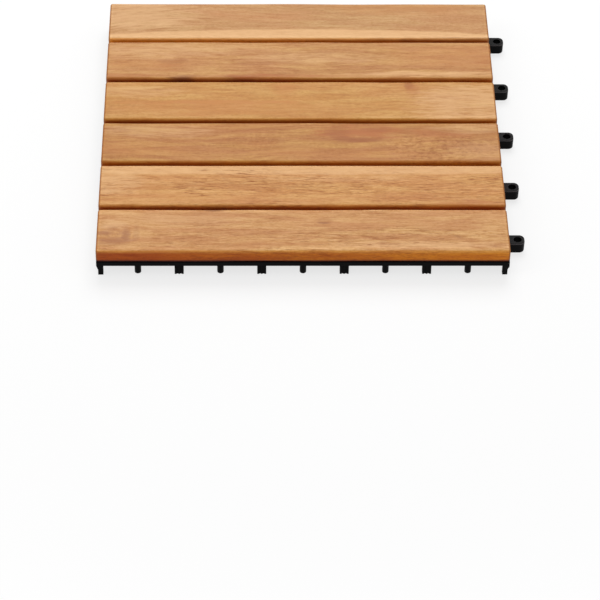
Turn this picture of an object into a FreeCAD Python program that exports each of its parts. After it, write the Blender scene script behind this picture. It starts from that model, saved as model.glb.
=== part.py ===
# Interlocking deck tile: six hardwood slats screwed to a moulded plastic base grid.
# Loops on the right and back sides drop over the neighbours' pins, which stand on
# the left and front sides. +X runs along the slats, +Y away from the front edge.
import FreeCAD, Part
import math
import os
import Sketcher

# Millimetres, and degrees for the draft angles.
sizes = {
    "tile_side": 300.0,  # side of the square walking face
    "base_height": 13.0,  # floor to the underside of the slats
    "joint_gap": 3.3,  # clear joint between two coupled tiles
    "coupling_room": 0.8,  # free room round a neighbour's loop under the rim
    "slat_count": 6,
    "slat_thick": 11.0,
    "slat_gap": 4.0,
    "slat_round": 2.0,  # radius of the long top edges
    "slat_under_ease": 1.5,  # chamfer along the long under edges
    "slat_end_ease": 0.8,  # chamfer round both ends
    "ring_depth": 3.4,  # thickness of the flat band under the slats' border
    "wall_depth": 5.5,  # height of the rim on the two loop sides
    "wall_thick": 2.4,
    "rim_round": 1.0,  # outer corners of the rim, seen from above
    "rim_ease": 0.4,  # top outer edge of the rim
    "rib_width": 1.8,
    "rib_depth": 4.0,
    "peg_side": 4.6,  # square feet under the lattice, at their top
    "peg_tip_side": 3.8,
    "link_pitch": 60.0,  # loop to loop, and pin to pin
    "link_count": 5,
    "loop_reach": 13.0,  # rim to the loop's outer end
    "loop_width": 10.6,
    "loop_round": 4.0,  # outer corners of a loop, seen from above
    "loop_root": 4.5,  # length of a loop inside the rim
    "loop_draft": 1.5,
    "loop_hole_out": 7.8,  # rim to the hole's axis
    "loop_hole_radius": 3.0,
    "pin_clearance": 0.6,  # between a pin and the neighbour's loop
    "pin_lift": 0.4,  # floor to the pin's tip
    "leg_width": 6.6,
    "leg_depth": 4.6,
    "leg_inset": 1.9,  # rim to the leg's outer face
    "flute_width": 1.1,
    "flute_depth": 0.5,
    "flute_spacing": 2.5,
    "corner_leg_side": 3.8,
    "corner_leg_inset": 1.2,
    "corner_gusset": 5.0,  # height over which a corner leg widens to the rim
    "stub_length": 3.2,  # short step of the wall beside a corner leg
    "stub_depth": 1.8,
    "screws_per_slat": 3,
    "boss_side": 10.0,  # square pads that the screws pull against
    "screw_sides": 10,  # flats that stand for the round of a screw and its holes
    "screw_head_radius": 3.6,
    "screw_head_height": 1.8,
    "screw_shank_radius": 1.75,
    "screw_length": 12.0,  # under the head
    "screw_clearance": 0.2,  # radial, between the shank and the boss
    "pilot_extra": 0.5,  # pilot hole beyond the screw's tip
}

# Places worked out from the driving dimensions.
half_side = "Sizes.tile_side / 2"
slat_pitch = "((Sizes.tile_side + Sizes.slat_gap) / Sizes.slat_count)"
slat_width = f"({slat_pitch} - Sizes.slat_gap)"
cross_rib_pitch = f"({slat_pitch} / 2)"
ring_bottom = "Sizes.base_height - Sizes.ring_depth"
wall_bottom = "Sizes.base_height - Sizes.wall_depth"
boss_bottom = "Sizes.base_height - Sizes.rib_depth"
band_width = "(Sizes.loop_reach - Sizes.joint_gap + Sizes.coupling_room)"
band_inner = f"({half_side} - {band_width})"
loop_height = f"{ring_bottom} - Sizes.coupling_room"
loop_root_at = f"({half_side} - Sizes.loop_root)"
first_link = "-(Sizes.link_count - 1) / 2 * Sizes.link_pitch"
first_leg = "-(Sizes.link_count - 2) / 2 * Sizes.link_pitch"
pin_radius = "Sizes.loop_hole_radius - Sizes.pin_clearance"
pin_line = f"-({half_side} - Sizes.loop_hole_out + Sizes.joint_gap)"
first_row = f"-(Sizes.slat_count - 1) * {slat_pitch} / 2"
screw_pitch = f"(2 * {slat_pitch})"
screw_start = f"-(Sizes.screws_per_slat - 1) / 2 * {screw_pitch}"
screw_grip = "(Sizes.screw_length - Sizes.rib_depth)"

doc = FreeCAD.newDocument("deck_tile")
sheet = doc.addObject("Spreadsheet::Sheet", "Sizes")
for row, (name, size) in enumerate(sizes.items(), start=1):
    sheet.set(f"A{row}", name)
    sheet.set(f"B{row}", str(size))
    sheet.setAlias(f"B{row}", name)
doc.recompute()


def number(expression):
    # the value that an expression has now, as a plain number
    found = sheet.evalExpression(expression)
    return getattr(found, "Value", found)


def bind(thing, **links):
    # tie properties to expressions; a double underscore stands for a dot
    for name, expression in links.items():
        thing.setExpression(name.replace("__", "."), expression)


def new_body(label, x="0", y="0", z="0"):
    # the row's origin is the middle of the whole footprint, loops included, so
    # everything drawn round the middle of the slats moves back by half a loop's reach
    body = doc.addObject("PartDesign::Body", label)
    body.Label = label
    bind(
        body,
        Placement__Base__x=f"{x} - Sizes.loop_reach / 2",
        Placement__Base__y=f"{y} - Sizes.loop_reach / 2",
        Placement__Base__z=z,
    )
    return body


def origin_item(body, role):
    return next(item for item in body.Origin.OriginFeatures if item.Role == role)


def new_sketch(body, name, height="0", role="XY_Plane"):
    sketch = body.newObject("Sketcher::SketchObject", name)
    sketch.AttachmentSupport = [(origin_item(body, role), "")]
    sketch.MapMode = "FlatFace"
    bind(sketch, AttachmentOffset__Base__z=height)
    return sketch


def constrain(sketch, expression, kind, *where):
    index = sketch.addConstraint(Sketcher.Constraint(kind, *where, number(expression)))
    sketch.setExpression(f"Constraints[{index}]", expression)


def fix_point(sketch, item, end, x, y):
    constrain(sketch, x, "DistanceX", -1, 1, item, end)
    constrain(sketch, y, "DistanceY", -1, 1, item, end)


def add_polygon(sketch, corners):
    # a closed outline whose every corner is held by its own expressions
    points = [FreeCAD.Vector(number(x), number(y), 0) for x, y in corners]
    first = sketch.GeometryCount
    last = len(points) - 1
    for k, point in enumerate(points):
        sketch.addGeometry(Part.LineSegment(point, points[(k + 1) % len(points)]))
    for k in range(len(points)):
        following = first if k == last else first + k + 1
        sketch.addConstraint(Sketcher.Constraint("Coincident", first + k, 2, following, 1))
    for k, (x, y) in enumerate(corners):
        fix_point(sketch, first + k, 1, x, y)


def add_rectangle(sketch, left, right, low, high):
    add_polygon(sketch, [(left, low), (right, low), (right, high), (left, high)])


def add_circle(sketch, x, y, radius):
    centre = FreeCAD.Vector(number(x), number(y), 0)
    circle = sketch.addGeometry(
        Part.Circle(centre, FreeCAD.Vector(0, 0, 1), number(radius))
    )
    constrain(sketch, radius, "Radius", circle)
    fix_point(sketch, circle, 3, x, y)


def add_lug(sketch, left, right, low, high, radius):
    # a rectangle whose two far corners are rounded
    x0, x1, y0, y1, r = (number(item) for item in (left, right, low, high, radius))
    across = FreeCAD.Vector(0, 0, 1)
    quarter = math.pi / 2
    base = sketch.addGeometry(
        Part.LineSegment(FreeCAD.Vector(x0, y0, 0), FreeCAD.Vector(x1, y0, 0))
    )
    side = sketch.addGeometry(
        Part.LineSegment(FreeCAD.Vector(x1, y0, 0), FreeCAD.Vector(x1, y1 - r, 0))
    )
    turn = sketch.addGeometry(
        Part.ArcOfCircle(
            Part.Circle(FreeCAD.Vector(x1 - r, y1 - r, 0), across, r), 0, quarter
        )
    )
    end = sketch.addGeometry(
        Part.LineSegment(FreeCAD.Vector(x1 - r, y1, 0), FreeCAD.Vector(x0 + r, y1, 0))
    )
    turn_back = sketch.addGeometry(
        Part.ArcOfCircle(
            Part.Circle(FreeCAD.Vector(x0 + r, y1 - r, 0), across, r),
            quarter,
            2 * quarter,
        )
    )
    side_back = sketch.addGeometry(
        Part.LineSegment(FreeCAD.Vector(x0, y1 - r, 0), FreeCAD.Vector(x0, y0, 0))
    )
    for rule in (
        ("Coincident", side_back, 2, base, 1),
        ("Coincident", base, 2, side, 1),
        ("Tangent", side, 2, turn, 1),
        ("Tangent", turn, 2, end, 1),
        ("Tangent", end, 2, turn_back, 1),
        ("Tangent", turn_back, 2, side_back, 1),
        ("Horizontal", base),
        ("Horizontal", end),
        ("Vertical", side),
        ("Vertical", side_back),
        ("Equal", turn, turn_back),
    ):
        sketch.addConstraint(Sketcher.Constraint(*rule))
    constrain(sketch, radius, "Radius", turn)
    fix_point(sketch, base, 1, left, low)
    constrain(sketch, right, "DistanceX", -1, 1, side, 1)
    constrain(sketch, high, "DistanceY", -1, 1, end, 1)


def new_feature(body, kind, name, **settings):
    # faces in one plane are merged where that helps, and not after every feature
    feature = body.newObject(f"PartDesign::{kind}", name)
    feature.Refine = False
    for key, setting in settings.items():
        setattr(feature, key, setting)
    return feature


def new_pad(body, sketch, name, length, downward=False, draft=None):
    pad = new_feature(body, "Pad", name, Profile=sketch)
    pad.Reversed = downward
    bind(pad, Length=length)
    if draft:
        bind(pad, TaperAngle=draft)
    return pad


def new_prism(body, kind, name, radius, height, x="0", y="0", z="0"):
    # the screws repeat so often that they and their holes have flat sides
    prism = new_feature(body, f"{kind}Prism", name)
    prism.AttachmentSupport = [(origin_item(body, "XY_Plane"), "")]
    prism.MapMode = "FlatFace"
    bind(
        prism,
        AttachmentOffset__Base__x=x,
        AttachmentOffset__Base__y=y,
        AttachmentOffset__Base__z=z,
        Polygon="Sizes.screw_sides",
        Circumradius=radius,
        Height=height,
    )
    return prism


def new_row(body, features, name, axis, spacing, count):
    pattern = new_feature(body, "LinearPattern", name, Originals=features)
    pattern.Direction = (origin_item(body, axis), [""])
    bind(pattern, Length=f"{spacing} * ({count} - 1)", Occurrences=count)
    body.Tip = pattern
    return pattern


def new_grid(body, features, name, spacing, count):
    # copies along X, and one row of them under each slat
    pattern = new_row(body, features, name, "X_Axis", spacing, count)
    pattern.Direction2 = (origin_item(body, "Y_Axis"), [""])
    rows = "Sizes.slat_count"
    bind(pattern, Length2=f"{slat_pitch} * ({rows} - 1)", Occurrences2=rows)
    return pattern


def new_sides(body, features, name, sides, count=None):
    # a row of copies along one side of the tile, then the row turned clockwise on
    # to the next sides
    sketch = features[0].Profile[0]
    transform = new_feature(body, "MultiTransform", name, Originals=features)
    steps = []
    if count:
        row = body.newObject("PartDesign::LinearPattern", f"{name}_row")
        row.Direction = (sketch, ["H_Axis"])
        bind(row, Length=f"Sizes.link_pitch * ({count} - 1)", Occurrences=count)
        steps.append(row)
    turn = body.newObject("PartDesign::PolarPattern", f"{name}_turn")
    turn.Axis = (sketch, ["N_Axis"])
    turn.Reversed = True
    turn.Mode = "Spacing"
    turn.Offset = 90
    turn.Occurrences = sides
    steps.append(turn)
    transform.Transformations = steps
    body.Tip = transform
    return transform


def edges_where(shape, test):
    return [f"Edge{k}" for k, edge in enumerate(shape.Edges, start=1) if test(edge)]


def new_region(name):
    # the moulding's regions are drawn as bodies of their own and fused once
    region = doc.addObject("PartDesign::Body", name)
    region.AllowCompound = True
    return region


def build_lattice():
    body = new_region("lattice")

    # square bosses for the slats' screws
    sketch = new_sketch(body, "boss_outline", "Sizes.base_height")
    half_boss = "Sizes.boss_side / 2"
    add_rectangle(
        sketch,
        f"{screw_start} - {half_boss}",
        f"{screw_start} + {half_boss}",
        f"{first_row} - {half_boss}",
        f"{first_row} + {half_boss}",
    )
    boss = new_pad(body, sketch, "boss", "Sizes.rib_depth", downward=True)
    new_grid(body, [boss], "bosses", screw_pitch, "Sizes.screws_per_slat")

    # tapered square feet, one row under each slat's middle
    peg = new_feature(body, "AdditiveWedge", "peg")
    peg.AttachmentSupport = [(origin_item(body, "XZ_Plane"), "")]
    peg.MapMode = "FlatFace"
    bind(
        peg,
        AttachmentOffset__Base__x=first_row,
        AttachmentOffset__Base__z=f"-({first_row})",
        Ymin="0",
        Ymax="Sizes.base_height",
        Xmin="-Sizes.peg_tip_side / 2",
        Xmax="Sizes.peg_tip_side / 2",
        Zmin="-Sizes.peg_tip_side / 2",
        Zmax="Sizes.peg_tip_side / 2",
        X2min="-Sizes.peg_side / 2",
        X2max="Sizes.peg_side / 2",
        Z2min="-Sizes.peg_side / 2",
        Z2max="Sizes.peg_side / 2",
    )
    new_grid(body, [peg], "pegs", slat_pitch, "Sizes.slat_count")

    # ribs across the slats carry the feet and the bosses
    half_rib = "Sizes.rib_width / 2"
    sketch = new_sketch(body, "cross_rib_outline", "Sizes.base_height")
    add_rectangle(
        sketch, f"{first_row} - {half_rib}", f"{first_row} + {half_rib}", f"-{band_inner}", band_inner
    )
    rib = new_pad(body, sketch, "cross_rib", "Sizes.rib_depth", downward=True)
    new_row(body, [rib], "cross_ribs", "X_Axis", cross_rib_pitch, "(2 * Sizes.slat_count - 1)")

    # ribs along the slats, one under each, cross them at the feet and the bosses
    sketch = new_sketch(body, "long_rib_outline", "Sizes.base_height")
    add_rectangle(
        sketch, f"-{band_inner}", band_inner, f"{first_row} - {half_rib}", f"{first_row} + {half_rib}"
    )
    rib = new_pad(body, sketch, "long_rib", "Sizes.rib_depth", downward=True)
    ribs = new_row(body, [rib], "long_ribs", "Y_Axis", slat_pitch, "Sizes.slat_count")
    ribs.Refine = True

    # screw holes, cut last because the ribs run through the bosses
    hole = new_prism(
        body,
        "Subtractive",
        "boss_hole",
        "Sizes.screw_shank_radius + Sizes.screw_clearance",
        "Sizes.rib_depth",
        screw_start,
        first_row,
        boss_bottom,
    )
    new_grid(body, [hole], "boss_holes", screw_pitch, "Sizes.screws_per_slat")
    doc.recompute()
    return body


def build_legs():
    body = new_region("legs")

    # legs under the rim, with two upright flutes on their outer face
    sketch = new_sketch(body, "leg_outline", ring_bottom)
    outer = f"{half_side} - Sizes.leg_inset"
    depth = f"{outer} - Sizes.flute_depth"
    wide = "Sizes.leg_width / 2"
    near = "(Sizes.flute_spacing - Sizes.flute_width) / 2"
    far = "(Sizes.flute_spacing + Sizes.flute_width) / 2"
    inner = f"{outer} - Sizes.leg_depth"
    add_polygon(
        sketch,
        [
            (f"{first_leg} - {wide}", inner),
            (f"{first_leg} + {wide}", inner),
            (f"{first_leg} + {wide}", outer),
            (f"{first_leg} + {far}", outer),
            (f"{first_leg} + {far}", depth),
            (f"{first_leg} + {near}", depth),
            (f"{first_leg} + {near}", outer),
            (f"{first_leg} - {near}", outer),
            (f"{first_leg} - {near}", depth),
            (f"{first_leg} - {far}", depth),
            (f"{first_leg} - {far}", outer),
            (f"{first_leg} - {wide}", outer),
        ],
    )
    leg = new_pad(body, sketch, "leg", ring_bottom, downward=True)
    new_sides(body, [leg], "legs", 4, "(Sizes.link_count - 1)")

    # corner legs, widened to the rim by a gusset
    centre = f"({half_side} - Sizes.corner_leg_inset - Sizes.corner_leg_side / 2)"
    flare = "Sizes.corner_leg_side / 2 + Sizes.corner_leg_inset"
    sketch = new_sketch(body, "gusset_outline", ring_bottom)
    low = f"{centre} - {flare}"
    high = f"{centre} + {flare}"
    add_rectangle(sketch, low, high, low, high)
    slope = "-atan(Sizes.corner_leg_inset / Sizes.corner_gusset)"
    gusset = new_pad(body, sketch, "gusset", "Sizes.corner_gusset", True, slope)
    sketch = new_sketch(body, "corner_leg_outline", ring_bottom)
    half_leg = "Sizes.corner_leg_side / 2"
    low = f"{centre} - {half_leg}"
    high = f"{centre} + {half_leg}"
    add_rectangle(sketch, low, high, low, high)
    corner_leg = new_pad(body, sketch, "corner_leg", ring_bottom, downward=True)
    new_sides(body, [gusset, corner_leg], "corner_legs", 4)

    # short steps of the wall beside the corner legs, on the loop sides
    sketch = new_sketch(body, "stub_outline", wall_bottom)
    stub_end = f"({centre} - {half_leg})"
    inner = f"{half_side} - Sizes.wall_thick"
    add_rectangle(sketch, f"{stub_end} - Sizes.stub_length", stub_end, inner, half_side)
    add_rectangle(sketch, f"-{stub_end}", f"-{stub_end} + Sizes.stub_length", inner, half_side)
    stub = new_pad(body, sketch, "stub", "Sizes.stub_depth", downward=True)
    new_sides(body, [stub], "stubs", 2)
    doc.recompute()
    return body


def build_links():
    body = new_region("links")

    # coupling loops: drafted lugs with a through hole, hung from the band by a neck
    half_loop = "Sizes.loop_width / 2"
    loop_left = f"{first_link} - {half_loop}"
    loop_right = f"{first_link} + {half_loop}"
    sketch = new_sketch(body, "loop_outline", loop_height)
    add_lug(
        sketch,
        loop_left,
        loop_right,
        loop_root_at,
        f"{half_side} + Sizes.loop_reach",
        "Sizes.loop_round",
    )
    loop = new_pad(body, sketch, "loop", loop_height, True, "-Sizes.loop_draft")
    sketch = new_sketch(body, "neck_outline", ring_bottom)
    add_rectangle(
        sketch, loop_left, loop_right, loop_root_at, f"{half_side} - Sizes.wall_thick / 2"
    )
    neck = new_pad(body, sketch, "neck", "Sizes.coupling_room", downward=True)
    sketch = new_sketch(body, "loop_hole_centre", loop_height)
    add_circle(
        sketch, first_link, f"{half_side} + Sizes.loop_hole_out", "Sizes.loop_hole_radius"
    )
    doc.recompute()
    eye = new_feature(body, "Hole", "loop_hole", Profile=sketch)
    eye.DepthType = "ThroughAll"
    bind(eye, Diameter="2 * Sizes.loop_hole_radius")
    new_sides(body, [loop, neck, eye], "loops", 2, "Sizes.link_count")

    # coupling pins on the two other sides, which stand inside the rim
    sketch = new_sketch(body, "pin_outline", ring_bottom)
    add_circle(sketch, first_link, pin_line, pin_radius)
    pin = new_pad(body, sketch, "pin", f"{ring_bottom} - Sizes.pin_lift", downward=True)
    new_sides(body, [pin], "pins", 2, "Sizes.link_count")
    doc.recompute()
    return body


def build_base_grid():
    body = new_body("base_grid")
    body.AllowCompound = False

    # flat band round the tile that carries the rim, the pins and the loops' roots
    sketch = new_sketch(body, "band_outline", "Sizes.base_height")
    add_rectangle(sketch, f"-{half_side}", half_side, f"-{half_side}", half_side)
    add_rectangle(sketch, f"-{band_inner}", band_inner, f"-{band_inner}", band_inner)
    new_pad(body, sketch, "band", "Sizes.ring_depth", downward=True)

    # the rim is taller on the two loop sides
    sketch = new_sketch(body, "wall_outline", "Sizes.base_height")
    inner = f"({half_side} - Sizes.wall_thick)"
    add_polygon(
        sketch,
        [
            (f"-{half_side}", inner),
            (inner, inner),
            (inner, f"-{half_side}"),
            (half_side, f"-{half_side}"),
            (half_side, half_side),
            (f"-{half_side}", half_side),
        ],
    )
    wall = new_pad(body, sketch, "wall", "Sizes.wall_depth", downward=True)
    doc.recompute()

    reach = number(half_side)
    top = number("Sizes.base_height")

    def at_corner(edge):
        centre = edge.BoundBox.Center
        upright = edge.BoundBox.ZLength > 0.5
        return upright and abs(abs(centre.x) - reach) + abs(abs(centre.y) - reach) < 0.01

    rounding = new_feature(body, "Fillet", "rim_corners")
    rounding.Base = (wall, edges_where(wall.Shape, at_corner))
    bind(rounding, Radius="Sizes.rim_round")
    doc.recompute()

    def on_top_outline(edge):
        box = edge.BoundBox
        outermost = max(abs(box.Center.x), abs(box.Center.y))
        return box.ZMin > top - 0.01 and outermost > number(band_inner) + 1

    easing = new_feature(body, "Chamfer", "rim_top_edge")
    easing.Base = (rounding, edges_where(rounding.Shape, on_top_outline))
    bind(easing, Size="Sizes.rim_ease")

    moulding = body.newObject("PartDesign::Boolean", "moulding")
    moulding.Refine = True
    moulding.setObjects([build_lattice(), build_legs(), build_links()])
    moulding.Type = "Fuse"
    body.Tip = moulding
    doc.recompute()
    return body


def build_slat(place):
    # place counts from the back edge of the tile
    middle = f"(({half_side} + Sizes.slat_gap / 2) - ({place} - 0.5) * {slat_pitch})"
    body = new_body(f"slat_{place}", y=middle, z="Sizes.base_height")
    body.AllowCompound = False
    sketch = new_sketch(body, "slat_outline")
    half_width = f"{slat_width} / 2"
    add_rectangle(sketch, f"-{half_side}", half_side, f"-{half_width}", half_width)
    plank = new_pad(body, sketch, "plank", "Sizes.slat_thick")
    doc.recompute()

    # the top edges are rounded for bare feet, the others only eased
    length = number("Sizes.tile_side")
    middle_height = number("Sizes.slat_thick / 2")

    def along(edge):
        return edge.BoundBox.XLength > length / 2

    def above(edge):
        return edge.BoundBox.Center.z > middle_height

    rounding = new_feature(body, "Fillet", "long_top_edges")
    rounding.Base = (plank, edges_where(plank.Shape, lambda e: along(e) and above(e)))
    bind(rounding, Radius="Sizes.slat_round")
    doc.recompute()
    easing = new_feature(body, "Chamfer", "long_under_edges")
    under = edges_where(rounding.Shape, lambda e: along(e) and e.BoundBox.ZMax < 0.01)
    easing.Base = (rounding, under)
    bind(easing, Size="Sizes.slat_under_ease")
    doc.recompute()
    ends = new_feature(body, "Chamfer", "end_edges")
    ends.Base = (easing, edges_where(easing.Shape, lambda e: e.BoundBox.XLength < 0.01))
    bind(ends, Size="Sizes.slat_end_ease")

    depth = f"{screw_grip} + Sizes.pilot_extra"
    pilot = new_prism(
        body, "Subtractive", "pilot", "Sizes.screw_shank_radius", depth, screw_start
    )
    new_row(body, [pilot], "pilots", "X_Axis", screw_pitch, "Sizes.screws_per_slat")
    doc.recompute()
    return body


def build_deck_screws():
    # one flat-headed screw, then the whole field of them, pulled up against the bosses
    body = new_body("deck_screws", x=screw_start, y=first_row, z=boss_bottom)
    body.AllowCompound = True
    height = "Sizes.screw_head_height"
    head = new_prism(
        body, "Additive", "head", "Sizes.screw_head_radius", height, z=f"-{height}"
    )
    shank = new_prism(
        body, "Additive", "shank", "Sizes.screw_shank_radius", "Sizes.screw_length"
    )
    new_grid(body, [head, shank], "screw_field", screw_pitch, "Sizes.screws_per_slat")
    doc.recompute()
    return body


bodies = [build_base_grid()]
for place in range(1, sizes["slat_count"] + 1):
    bodies.append(build_slat(place))
bodies.append(build_deck_screws())
doc.recompute()

for item in doc.Objects:
    if "Invalid" in item.State or "Error" in item.State:
        raise RuntimeError(f"{item.Name} failed: {item.State}")
for body in bodies:
    if body.Shape.isNull() or not body.Shape.isValid():
        raise RuntimeError(f"{body.Label} has no valid shape")

os.makedirs("parts", exist_ok=True)
for body in bodies:
    body.Shape.exportStep(f"parts/{body.Label}.step")
    box = body.Shape.BoundBox
    print(
        f"{body.Label}: {len(body.Shape.Solids)} solids, {body.Shape.Volume:.1f} mm3, "
        f"z {box.ZMin:.2f} to {box.ZMax:.2f}"
    )
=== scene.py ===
import math
import random

import bmesh
import bpy
from mathutils import Matrix, Vector


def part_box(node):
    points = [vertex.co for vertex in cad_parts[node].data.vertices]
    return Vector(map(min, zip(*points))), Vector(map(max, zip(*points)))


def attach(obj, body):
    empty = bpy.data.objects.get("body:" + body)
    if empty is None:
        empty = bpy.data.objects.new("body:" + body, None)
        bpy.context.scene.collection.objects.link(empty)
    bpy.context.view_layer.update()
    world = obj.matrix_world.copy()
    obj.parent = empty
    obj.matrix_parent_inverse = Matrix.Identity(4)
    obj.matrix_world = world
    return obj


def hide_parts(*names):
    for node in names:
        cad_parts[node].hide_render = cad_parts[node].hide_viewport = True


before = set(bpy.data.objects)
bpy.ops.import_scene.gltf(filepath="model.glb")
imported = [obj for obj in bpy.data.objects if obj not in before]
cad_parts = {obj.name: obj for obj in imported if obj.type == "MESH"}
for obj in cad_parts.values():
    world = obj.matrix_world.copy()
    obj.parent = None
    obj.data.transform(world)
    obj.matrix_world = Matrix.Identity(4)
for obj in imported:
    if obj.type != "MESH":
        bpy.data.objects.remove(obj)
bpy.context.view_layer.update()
print("frame loaded:", ", ".join(sorted(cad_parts)))

mm = 0.001


class Value:
    # one output of a shader node, so that sums on it read as Python
    def __init__(self, paint, socket):
        self.paint = paint
        self.socket = socket

    def __add__(self, other):
        return self.paint.scalar("ADD", self, other)

    def __radd__(self, other):
        return self.paint.scalar("ADD", other, self)

    def __sub__(self, other):
        return self.paint.scalar("SUBTRACT", self, other)

    def __rsub__(self, other):
        return self.paint.scalar("SUBTRACT", other, self)

    def __mul__(self, other):
        return self.paint.scalar("MULTIPLY", self, other)

    def __rmul__(self, other):
        return self.paint.scalar("MULTIPLY", other, self)

    def __truediv__(self, other):
        return self.paint.scalar("DIVIDE", self, other)

    def __pow__(self, other):
        return self.paint.scalar("POWER", self, other)


class Paint:
    # a material or a world being mixed: its node tree and what goes into it
    def __init__(self, owner):
        self.owner = owner
        owner.use_nodes = True
        self.tree = owner.node_tree
        self.tree.nodes.clear()

    def find(self, sockets, wanted):
        # by its place, its name or, where names repeat, its identifier
        if isinstance(wanted, int):
            return sockets[wanted]
        for socket in sockets:
            if wanted in (socket.identifier, socket.name):
                return socket
        raise KeyError(wanted)

    def node(self, kind, settings=None, inputs=None, out=0):
        made = self.tree.nodes.new("ShaderNode" + kind)
        for key, setting in (settings or {}).items():
            setattr(made, key, setting)
        if isinstance(inputs, dict):
            pairs = inputs.items()
        else:
            pairs = enumerate(inputs or [])
        for slot, source in pairs:
            socket = self.find(made.inputs, slot)
            if isinstance(source, Value):
                self.tree.links.new(source.socket, socket)
            else:
                socket.default_value = source
        return Value(self, self.find(made.outputs, out)) if made.outputs else made

    def others(self, value, *names):
        # further outputs of the node that a value comes from
        outputs = value.socket.node.outputs
        return [Value(self, self.find(outputs, name)) for name in names]

    def scalar(self, operation, *inputs):
        return self.node("Math", {"operation": operation}, list(inputs))

    def vector(self, operation, *inputs):
        return self.node("VectorMath", {"operation": operation}, list(inputs))

    def point(self, x, y, z):
        return self.node("CombineXYZ", None, [x, y, z])

    def split(self, place):
        x = self.node("SeparateXYZ", None, [place], "X")
        return [x] + self.others(x, "Y", "Z")

    def millimetres(self):
        # the place on the piece, in millimetres along the tile's axes
        there = self.node("TexCoord", None, None, "Object")
        return self.vector("MULTIPLY", there, (1000.0, 1000.0, 1000.0))

    def step(self, source, low, high, toLow=0.0, toHigh=1.0):
        # a smooth step from toLow to toHigh as the source goes from low to high
        return self.node(
            "MapRange",
            {"interpolation_type": "SMOOTHSTEP", "clamp": True},
            {
                "Value": source,
                "From Min": low,
                "From Max": high,
                "To Min": toLow,
                "To Max": toHigh,
            },
        )

    def noise(self, place, scale, detail, roughness):
        return self.node(
            "TexNoise",
            {"noise_dimensions": "3D"},
            {
                "Vector": place,
                "Scale": scale,
                "Detail": detail,
                "Roughness": roughness,
            },
        )

    def blend(self, amount, under, over, kind="MIX"):
        return self.node(
            "Mix",
            {"data_type": "RGBA", "blend_type": kind},
            {"Factor_Float": amount, "A_Color": under, "B_Color": over},
            "Result_Color",
        )

    def bump(self, look, height):
        return self.node(
            "Bump",
            None,
            {
                "Strength": look["bumpStrength"],
                "Distance": look["bumpHeight"],
                "Height": height,
            },
        )

    def surface(self, **inputs):
        # keys are the shader's socket names with underscores for spaces
        named = {key.replace("_", " "): source for key, source in inputs.items()}
        shader = self.node("BsdfPrincipled", None, named)
        self.node("OutputMaterial", None, {"Surface": shader})
        return self.owner


def tone(red, green, blue):
    # a colour given as it looks on screen, from 0 to 255, for a shader
    def plain(channel):
        share = channel / 255
        if share <= 0.04045:
            return share / 12.92
        return ((share + 0.055) / 1.055) ** 2.4

    return (plain(red), plain(green), plain(blue), 1.0)


# The camera stands where the photograph was taken from; metres in the tile's frame.
cameraLook = {
    "place": (-0.04306, -1.69242, 1.37411),
    "right": (0.99986, -0.01273, 0.01078),
    "down": (-0.0006, -0.6731, -0.73955),
    "forward": (0.01667, 0.73945, -0.67301),
    "focalPixels": 2834.5,
    "framePixels": 600,
    "sensorWidth": 36.0,
    "nearest": 0.05,
    "farthest": 20.0,
}


def makeCamera(look):
    camera = bpy.data.cameras.new("camera")
    holder = bpy.data.objects.new("camera", camera)
    bpy.context.scene.collection.objects.link(holder)
    camera.sensor_width = look["sensorWidth"]
    camera.lens = look["focalPixels"] / look["framePixels"] * look["sensorWidth"]
    camera.clip_start = look["nearest"]
    camera.clip_end = look["farthest"]
    axes = (Vector(look["right"]), -Vector(look["down"]), -Vector(look["forward"]))
    turn = Matrix(axes).transposed()
    holder.matrix_world = Matrix.Translation(look["place"]) @ turn.to_4x4()
    bpy.context.scene.camera = holder


makeCamera(cameraLook)
print("camera placed")

floorLook = {
    "side": 12.0,
    "colour": (0.8, 0.8, 0.8, 1.0),
    "white": (1.0, 1.0, 1.0, 1.0),
    "shadowShare": 0.3,  # how much of the real shadow the eye gets to see
    "shadowReach": (350.0, 900.0),  # mm from the middle, over which it fades out
    "glow": 1.06,
}


def directRay(paint):
    # 1 where the camera looks, straight, in a mirror or through glass, else 0
    seen = paint.node("LightPath", None, None, "Is Camera Ray")
    glossy, through = paint.others(seen, "Is Glossy Ray", "Is Transmission Ray")
    return paint.scalar("MINIMUM", seen + glossy + through, 1.0)


def makeFloor(look):
    paint = Paint(bpy.data.materials.new("paleFloor"))
    lit = paint.node("BsdfDiffuse", None, {"Color": look["colour"]})
    white = paint.node("Emission", None, {"Color": look["white"], "Strength": look["glow"]})
    x, y = paint.split(paint.millimetres())[:2]
    away = (x * x + y * y) ** 0.5
    shown = paint.step(away, *look["shadowReach"], look["shadowShare"], 0.0)
    mixed = paint.node("MixShader", None, [directRay(paint) * (1 - shown), lit, white])
    paint.node("OutputMaterial", None, {"Surface": mixed})

    mesh = bpy.data.meshes.new("floor")
    half = look["side"] / 2
    corners = [(-half, -half, 0), (half, -half, 0), (half, half, 0), (-half, half, 0)]
    mesh.from_pydata(corners, [], [(0, 1, 2, 3)])
    mesh.materials.append(paint.owner)
    floor = bpy.data.objects.new("floor", mesh)
    bpy.context.scene.collection.objects.link(floor)


makeFloor(floorLook)

lightLook = {
    "sky": {"colour": (1.0, 1.0, 1.0, 1.0), "strength": 0.55},
    "key": {"place": (0.15, 1.6, 2.2), "side": 1.8, "watts": 47.0},
    "fill": {"place": (-1.9, -0.6, 1.8), "side": 1.4, "watts": 9.0},
}


def makeLamp(name, look):
    lamp = bpy.data.lights.new(name, "AREA")
    lamp.shape = "SQUARE"
    lamp.size = look["side"]
    lamp.energy = look["watts"]
    holder = bpy.data.objects.new(name, lamp)
    holder.location = look["place"]
    aim = -Vector(look["place"])
    holder.rotation_mode = "QUATERNION"
    holder.rotation_quaternion = aim.to_track_quat("-Z", "Y")
    bpy.context.scene.collection.objects.link(holder)


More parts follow.
